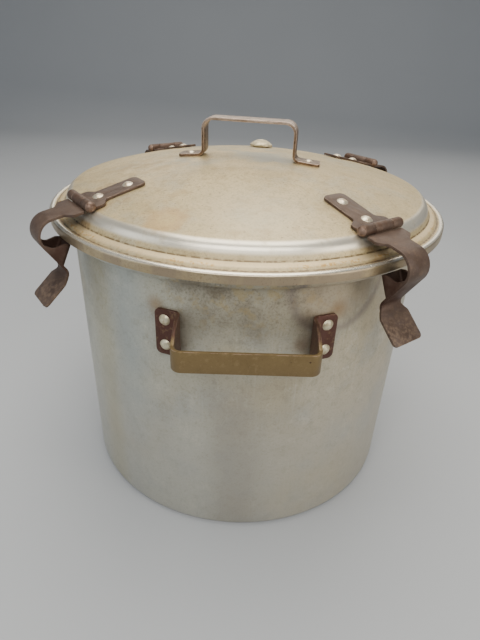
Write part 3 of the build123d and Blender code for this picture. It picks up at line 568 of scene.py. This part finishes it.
def lidMetal():
    m, tones = finish("agedLidAluminium"), lid["tones"]
    cloud = m.noise(9, 4, 0.6)
    patch = m.noise(30, 4, 0.6)
    blotch = m.noise(85, 5, 0.65)
    grain = m.noise(560, 3, 0.75)
    speck = m.noise(1200, 2, 0.6)
    tone = m.mix(m.step(cloud, 0.40, 0.62), tones["base"], tones["baseDark"])
    tone = m.mix(m.step(patch, 0.48, 0.68) * 0.50, tone, tones["greyPatch"])
    tone = m.mix(m.step(blotch, 0.50, 0.68) * 0.42, tone, tones["blotch"])
    tone = m.mix(m.step(m.noise(210, 4, 0.7), 0.50, 0.64) * 0.30, tone, tones["fineBlotch"])
    tone = m.mix(m.step(grain, 0.49, 0.64) * 0.52, tone, tones["grain"])
    tone = m.mix(m.step(speck, 0.58, 0.72) * 0.28, tone, tones["speck"])
    # cool clouds behind the handle and an old boil-over stain at the front left
    for place in lid["coolClouds"]:
        tone = m.mix(m.near(*place) * m.step(patch, 0.36, 0.56) * 0.75, tone, tones["coolCloud"])
    tone = m.mix(m.near(*lid["brownCloud"]) * m.step(blotch, 0.36, 0.58) * 0.55,
                 tone, tones["brownCloud"])
    # a paler patch on the front of the crown: painted sheen
    tone = m.mix(m.near(*lid["frontSheen"]) * 0.45, tone, tones["frontSheen"])
    stain = m.near(*lid["stain"]) + (blotch - 0.5) * 0.7
    tone = m.mix(m.band(stain, 0.22, 0.80, 0.22) * 0.40, tone, tones["stainEdge"])
    tone = m.mix(m.step(stain, 0.55, 0.80) * 0.40, tone, tones["stain"])
    # pits scattered over the crown
    pits = 1 - m.step(m.cells(300), 0.09, 0.21)
    chosen = m.step(m.noise(150, 3, 0.6), 0.52, 0.60)
    tone = m.mix(pits * chosen * 0.75, tone, tones["pit"])
    # rust beside the clamps' leaves
    for azimuth in fittings["corners"].values():
        turn = math.radians(azimuth)
        along = m.x * math.cos(turn) + m.y * math.sin(turn)
        side = (m.y * math.cos(turn) - m.x * math.sin(turn)) ** 2
        beside = m.step(along, 0.100, 0.140) * (1 - m.step(side, 0.00022, 0.00062))
        tone = m.mix(beside * m.step(blotch, 0.40, 0.60) * 0.50, tone, tones["leafRust"])
    # the shoulder and the bead's crest are painted bright as a painted highlight
    shoulder = m.band(m.reach, *lid["shoulderRing"]) * m.step(m.z, 0.2535, 0.2565)
    crest = m.band(m.reach, *lid["crestRing"]) * m.step(m.z, 0.2462, 0.2470)
    bright = shoulder * (0.85 - m.step(blotch, 0.52, 0.70) * 0.35) + crest * 0.9
    tone = m.mix(bright, tone, tones["paintedHighlight"])
    # grime in the foot of the step and in the groove, broken into dashes
    dashes = m.step(m.noise(330, 3, 0.6), 0.42, 0.54)
    foot = m.band(m.reach, *lid["footRing"]) * m.step(m.z, 0.2490, 0.2495)
    tone = m.mix(foot * (0.30 + dashes * 0.60), tone, tones["grime"])
    ledge = m.band(m.reach, *lid["ledgeRing"])
    tone = m.mix(ledge * 0.60, tone, tones["ledge"])
    rust = m.step(m.noise(420, 3, 0.7), 0.48, 0.58) * m.step(m.noise(50, 2, 0.5), 0.40, 0.54)
    tone = m.mix(m.band(m.reach, *lid["ledgeRustRing"]) * rust * 0.80, tone, tones["ledgeRust"])
    groove = m.band(m.reach, *lid["grooveRing"]) * m.step(m.z, 0.2455, 0.2468)
    tone = m.mix(groove * (0.45 + dashes * 0.40), tone, tones["groove"])
    skirt = m.step(m.reach, *lid["skirtFrom"])
    mottle = m.noise(60, 4, 0.6, (1, 1, 0.3))
    tone = m.mix(skirt * (0.50 + m.step(mottle, 0.4, 0.62) * 0.45), tone, tones["skirt"])
    tone = m.mix(skirt * m.step(m.noise(800, 2, 0.6), 0.60, 0.70) * 0.5,
                 tone, tones["skirtSpeck"])
    dull = 0.46 + (blotch - 0.5) * 0.16 - shoulder * 0.14 - crest * 0.20 - skirt * 0.10
    shine = 0.46 + bright * 0.38 + skirt * 0.24
    height = grain * (1 - crest) * 0.45 - pits * chosen * 0.8 + m.noise(26, 2, 0.5) * 1.0
    return m.close({"Base Color": tone, "Metallic": shine, "Roughness": dull,
                    "Normal": m.bump(height, 0.0004, 0.26)})


def buildLid():
    shell = spunShell("lidBody", lidOutline(), lid["steps"])
    settle(shell, "lid_shell", "lid", lidMetal())
    print("lid built")


fittings = {
    "strapEdge": 0.00045, "handleEdge": 0.0005, "leafEdge": 0.0004,  # widths of broken edges
    "gap": 0.00005, "strapSheet": 0.0018, "handleSheet": 0.0022,
    # a rivet's head is its radius, rise and grip
    "shank": 0.0021, "tail": 0.9, "rivetSteps": 32,
    "leafTouch": 0.122, "leafRivets": (0.111, 0.1346), "leafHead": (0.0041, 0.0017, 0.00418),
    "bowRivet": 0.0506, "bowAzimuth": -9.6, "bowHead": (0.0030, 0.0013, 0.00431),
    "sideRivet": 0.15045, "sideAngle": 21.9, "sideLevels": (0.1806, 0.2006),
    "sideAzimuth": -88.7, "sideHead": (0.0042, 0.0020, 0.00451),
    "pinPlace": (0.1475, 0.2653025), "pin": 0.0020, "pinEnd": 0.01805,
    "pinHead": (0.00375, 0.0030), "pinSteps": 40,
    "corners": {"front_right": -53.0, "rear_right": 39.0, "rear_left": 127.0,
                "front_left": -143.0},
    "clampTones": {
        "base": paint(96, 78, 66), "baseDark": paint(78, 61, 50), "greyPatch": paint(92, 78, 72),
        "grain": paint(60, 46, 36), "spot": paint(124, 102, 84), "loopRustAndShadow": paint(62, 38, 27),
        "barrelRust": paint(84, 56, 36), "tab": paint(138, 116, 96), "worn": paint(176, 154, 134),
    },
    "handleTones": {
        "plate": paint(80, 47, 37), "grip": paint(116, 97, 62), "leg": paint(92, 70, 58),
        "platePatch": paint(58, 36, 27), "gripPatch": paint(98, 80, 48),
        "plateGrain": paint(52, 34, 26), "gripGrain": paint(82, 66, 42),
        "spot": paint(142, 120, 86), "pit": paint(52, 26, 14), "worn": paint(176, 148, 134),
    },
    "bowTones": {
        "foot": paint(126, 104, 82), "top": paint(176, 156, 138), "spot": paint(92, 72, 54),
        "grain": paint(76, 60, 44), "speck": paint(196, 172, 146), "worn": paint(228, 200, 180),
    },
    # light, dark, roughness and metallic of each small metal
    "smallMetals": {
        "ventCapAluminium": (paint(206, 194, 160), paint(178, 162, 126), 0.40, 0.5),
        "brightRivets": (paint(236, 224, 198), paint(196, 174, 142), 0.32, 0.75),
        "paleRivets": (paint(206, 198, 170), paint(178, 164, 132), 0.42, 0.55),
        "wornPinSteel": (paint(120, 98, 84), paint(88, 66, 52), 0.48, 0.5),
        "dullBrass": (paint(178, 152, 96), paint(128, 104, 62), 0.36, 0.7),
    },
    "rubber": (paint(38, 36, 35), paint(58, 54, 50)),
}
vent = {
    "distance": 0.068, "azimuth": 80.4, "radius": 0.0107, "edge": 0.00075, "lip": 0.0016,
    "lipWidth": 0.001, "top": 0.00705, "inner": 0.0083, "innerTop": 0.00295,
    "seatRadius": 0.0075, "seatTop": 0.00395, "boss": 0.0065, "seat": 0.00175,
    "stem": 0.0018, "stemEnd": -0.01525, "steps": 64, "domeSteps": 14,
    "bends": (0.0005, 0.0004, 0.0003),  # outside and inside of the lip, and the boss
}


def onCrown(distance):
    tilt = math.asin(distance / lid["crownRadius"])
    return shift(distance, 0, crownHeight(distance)) @ Matrix.Rotation(tilt, 4, "Y")


def wornEdges(m, scale, low, high):
    # the broken edges, rubbed clean in patches
    wear = m.node("ShaderNodeAttribute", {"attribute_name": "edgeWear"}, {}, "Fac")
    return wear * m.step(m.noise(scale, 3, 0.6), low, high)


def clampSteel():
    m, tones = finish("tarnishedClampSteel"), fittings["clampTones"]
    cloud = m.noise(55, 4, 0.6)
    patch = m.noise(130, 4, 0.6)
    grain = m.noise(800, 4, 0.75)
    spots = m.noise(300, 4, 0.65)
    tone = m.mix(m.step(cloud, 0.36, 0.64), tones["base"], tones["baseDark"])
    tone = m.mix(m.step(patch, 0.48, 0.68) * 0.45, tone, tones["greyPatch"])
    tone = m.mix(m.step(grain, 0.50, 0.72) * 0.40, tone, tones["grain"])
    tone = m.mix(m.step(spots, 0.55, 0.68) * 0.40, tone, tones["spot"])
    # rust deep in the loop and the hook, where water stays, darkened further as painted shadow
    # inside the loop
    loop = m.step(m.reach, 0.158, 0.166) * (1 - m.step(m.z, 0.236, 0.252))
    loop = loop * m.step(m.z, 0.212, 0.220) * (1 - m.step(m.reach, 0.176, 0.184))
    tone = m.mix(loop * (0.55 + m.step(patch, 0.4, 0.62) * 0.40), tone, tones["loopRustAndShadow"])
    barrel = m.band(m.z, 0.2635, 0.2705, 0.001) * m.step(m.reach, 0.1405, 0.1435)
    tone = m.mix(barrel * m.step(patch, 0.42, 0.62) * 0.60, tone, tones["barrelRust"])
    tab = (1 - m.step(m.z, 0.204, 0.214)) * m.step(m.reach, 0.16, 0.17)
    tone = m.mix(tab * m.step(spots, 0.40, 0.62) * 0.40, tone, tones["tab"])
    tone = m.mix(wornEdges(m, 190, 0.42, 0.60) * 0.75, tone, tones["worn"])
    dull = 0.52 + (spots - 0.5) * 0.30 + loop * 0.10
    height = grain * 0.7 + spots * 0.4
    return m.close({"Base Color": tone, "Metallic": 0.45, "Roughness": dull,
                    "Normal": m.bump(height, 0.0003, 0.45)})


def handleSteel():
    m, tones = finish("rustedHandleSteel"), fittings["handleTones"]
    patch = m.noise(70, 4, 0.6)
    grain = m.noise(760, 3, 0.75)
    spots = m.noise(260, 4, 0.65)
    grip = m.step(m.reach, 0.1680, 0.1735)
    leg = m.band(m.reach, 0.1530, 0.1690, 0.0015)
    tone = m.mix(grip, tones["plate"], tones["grip"])
    tone = m.mix(leg * 0.6, tone, tones["leg"])
    darker = m.mix(grip, tones["platePatch"], tones["gripPatch"])
    tone = m.mix(m.step(patch, 0.45, 0.68) * 0.35, tone, darker)
    darker = m.mix(grip, tones["plateGrain"], tones["gripGrain"])
    tone = m.mix(m.step(grain, 0.50, 0.72) * 0.32, tone, darker)
    tone = m.mix(m.step(spots, 0.54, 0.66) * 0.35, tone, tones["spot"])
    pits = (1 - m.step(m.cells(150), 0.07, 0.13)) * m.step(m.noise(45, 2, 0.5), 0.50, 0.58)
    tone = m.mix(pits * grip * 0.85, tone, tones["pit"])
    tone = m.mix(wornEdges(m, 170, 0.42, 0.56) * (0.30 + grip * 0.25), tone, tones["worn"])
    dull = 0.48 + (spots - 0.5) * 0.3
    height = grain * 0.5 + spots * 0.4 - pits * 0.8
    return m.close({"Base Color": tone, "Metallic": 0.45, "Roughness": dull,
                    "Normal": m.bump(height, 0.0003, 0.5)})


def lidHandleSteel():
    m, tones = finish("tarnishedLidHandleSteel"), fittings["bowTones"]
    grain = m.noise(760, 3, 0.75)
    spots = m.noise(200, 4, 0.65)
    # the top of the bow is painted lighter than its legs: painted sheen from above
    top = m.step(m.z, 0.300, 0.310)
    tone = m.mix(m.step(spots, 0.4, 0.65) * (1 - top * 0.5),
                 m.mix(top, tones["foot"], tones["top"]), tones["spot"])
    tone = m.mix(m.step(grain, 0.50, 0.72) * 0.40, tone, tones["grain"])
    tone = m.mix(m.step(m.noise(420, 3, 0.6), 0.56, 0.70) * 0.30, tone, tones["speck"])
    tone = m.mix(wornEdges(m, 150, 0.28, 0.48) * 0.85, tone, tones["worn"])
    dull = 0.38 + (spots - 0.5) * 0.25
    return m.close({"Base Color": tone, "Metallic": 0.65, "Roughness": dull,
                    "Normal": m.bump(grain + spots, 0.0003, 0.35)})


def smallMetal(name):
    light, dark, rough, shine = fittings["smallMetals"][name]
    m = finish(name)
    patch = m.noise(330, 3, 0.6)
    grain = m.noise(1100, 3, 0.7)
    tone = m.mix(m.step(patch, 0.42, 0.66), light, dark)
    tone = m.mix(m.step(grain, 0.54, 0.74) * 0.35, tone, dark)
    return m.close({"Base Color": tone, "Metallic": shine, "Roughness": rough + (patch - 0.5) * 0.2,
                    "Normal": m.bump(grain, 0.0001, 0.25)})


def agedRubber():
    m = finish("agedRubber")
    dust = m.noise(300, 3)
    return m.close({"Base Color": m.mix(dust, *fittings["rubber"]), "Roughness": 0.75,
                    "Normal": m.bump(dust, 0.0002, 0.4)})


def setRivets(node, name, head, places, body, metal):
    # one rivet is turned, then copied to every place and joined into one piece
    radius, rise, grip = head
    shank, tail = fittings["shank"], radius * fittings["tail"]
    outline = capArc(radius, rise, 0) + [Vector((shank, 0)), Vector((shank, -grip))]
    outline += [Vector((p.x, -grip - p.y)) for p in reversed(capArc(tail, rise, 0))]
    first = turnedPiece(name, outline, fittings["rivetSteps"], places[0])
    copies = []
    for place in places[1:]:
        other = first.copy()
        other.data = first.data.copy()
        bpy.context.collection.objects.link(other)
        other.data.transform(place @ places[0].inverted())
        copies.append(other)
    bpy.ops.object.select_all(action="DESELECT")
    for piece in copies + [first]:
        piece.select_set(True)
    bpy.context.view_layer.objects.active = first
    bpy.ops.object.join()
    settle(first, node, body, metal)


def buildVent():
    bottom = vent["edge"] + vent["lip"]
    rise = vent["top"] - vent["edge"] - vent["lip"]
    outside, inside, boss = vent["bends"]
    outline = capArc(vent["radius"], rise, bottom, vent["domeSteps"]) + roundedPath([
        (vent["radius"], bottom, 0), (vent["radius"], vent["edge"], outside),
        (vent["inner"] + vent["lipWidth"], vent["edge"], inside),
        (vent["inner"], vent["innerTop"], 0), (vent["seatRadius"], vent["seatTop"], 0),
        (vent["boss"], vent["seat"], boss), (vent["stem"], vent["seat"], 0),
        (vent["stem"], vent["stemEnd"], 0), (0, vent["stemEnd"], 0)])[1:]
    place = around(vent["azimuth"]) @ onCrown(vent["distance"])
    piece = turnedPiece("ventCap", outline, vent["steps"], place)
    settle(piece, "vent_cap", "vent", smallMetal("ventCapAluminium"))
    print("vent built")


def pinOutline():
    pin, end = fittings["pin"], fittings["pinEnd"]
    dome = capArc(*fittings["pinHead"], end)
    return dome + [Vector((pin, end)), Vector((pin, -end))] + [
        Vector((p.x, -p.y)) for p in reversed(dome)]


def buildClamp(corner, azimuth, clamp, rivet, pin):
    short = "".join(w.capitalize() if i else w for i, w in enumerate(corner.split("_")))
    node = f"{corner}_clamp"
    strap = softEdged(f"{node}_strap", short + "Strap", fittings["strapEdge"])
    settle(strap, f"{node}_strap", node, clamp)
    leaf = softEdged(f"{node}_leaf", short + "Leaf", fittings["leafEdge"])
    settle(leaf, f"{node}_leaf", "lid", clamp)
    flat = around(azimuth) @ onCrown(fittings["leafTouch"])
    lean = math.cos(math.asin(fittings["leafTouch"] / lid["crownRadius"]))
    places = [flat @ shift((d - fittings["leafTouch"]) / lean, 0,
                           fittings["gap"] + fittings["strapSheet"])
              for d in fittings["leafRivets"]]
    setRivets(f"{node}_leaf_rivets", short + "LeafRivets", fittings["leafHead"], places,
              "lid", rivet)
    distance, level = fittings["pinPlace"]
    place = around(azimuth) @ shift(distance, 0, level) @ Matrix.Rotation(math.pi / 2, 4, "X")
    piece = turnedPiece(short + "HingePin", pinOutline(), fittings["pinSteps"], place)
    settle(piece, f"{node}_hinge_pin", "lid", pin)


def buildSideHandle(side, turn, steel, rivet):
    handle = softEdged(f"{side}_handle", side + "Handle", fittings["handleEdge"])
    settle(handle, f"{side}_handle", "pot", steel)
    places = [around(fittings["sideAzimuth"] + turn + way * fittings["sideAngle"])
              @ shift(fittings["sideRivet"], 0, level) @ Matrix.Rotation(math.pi / 2, 4, "Y")
              for way in (-1, 1) for level in fittings["sideLevels"]]
    setRivets(f"{side}_handle_rivets", side + "HandleRivets", fittings["sideHead"], places,
              "pot", rivet)


def buildLidHandle(steel, rivet):
    handle = softEdged("lid_handle", "lidHandle", fittings["handleEdge"])
    settle(handle, "lid_handle", "lid", steel)
    places = [around(fittings["bowAzimuth"] + turn) @ onCrown(fittings["bowRivet"])
              @ shift(0, 0, fittings["gap"] + fittings["handleSheet"]) for turn in (0, 180)]
    setRivets("lid_handle_rivets", "lidHandleRivets", fittings["bowHead"], places, "lid", rivet)


def buildFittings():
    clamp, handle, bow = clampSteel(), handleSteel(), lidHandleSteel()
    bright, pale = smallMetal("brightRivets"), smallMetal("paleRivets")
    pin = smallMetal("wornPinSteel")
    for corner, azimuth in fittings["corners"].items():
        buildClamp(corner, azimuth, clamp, bright, pin)
    print("clamps built")
    buildSideHandle("front", 0, handle, pale)
    buildSideHandle("rear", 180, handle, pale)
    buildLidHandle(bow, bright)
    print("handles built")
    brass = smallMetal("dullBrass")
    dressNode("vent_seat", brass)
    dressNode("vent_nut", brass)
    dressNode("vent_retainer", pin)
    dressNode("rim_wire", pin)
    dressNode("lid_gasket", agedRubber())
    print("small parts dressed")


buildCamera()
buildStudio()
buildPot()
buildLid()
buildVent()
buildFittings()
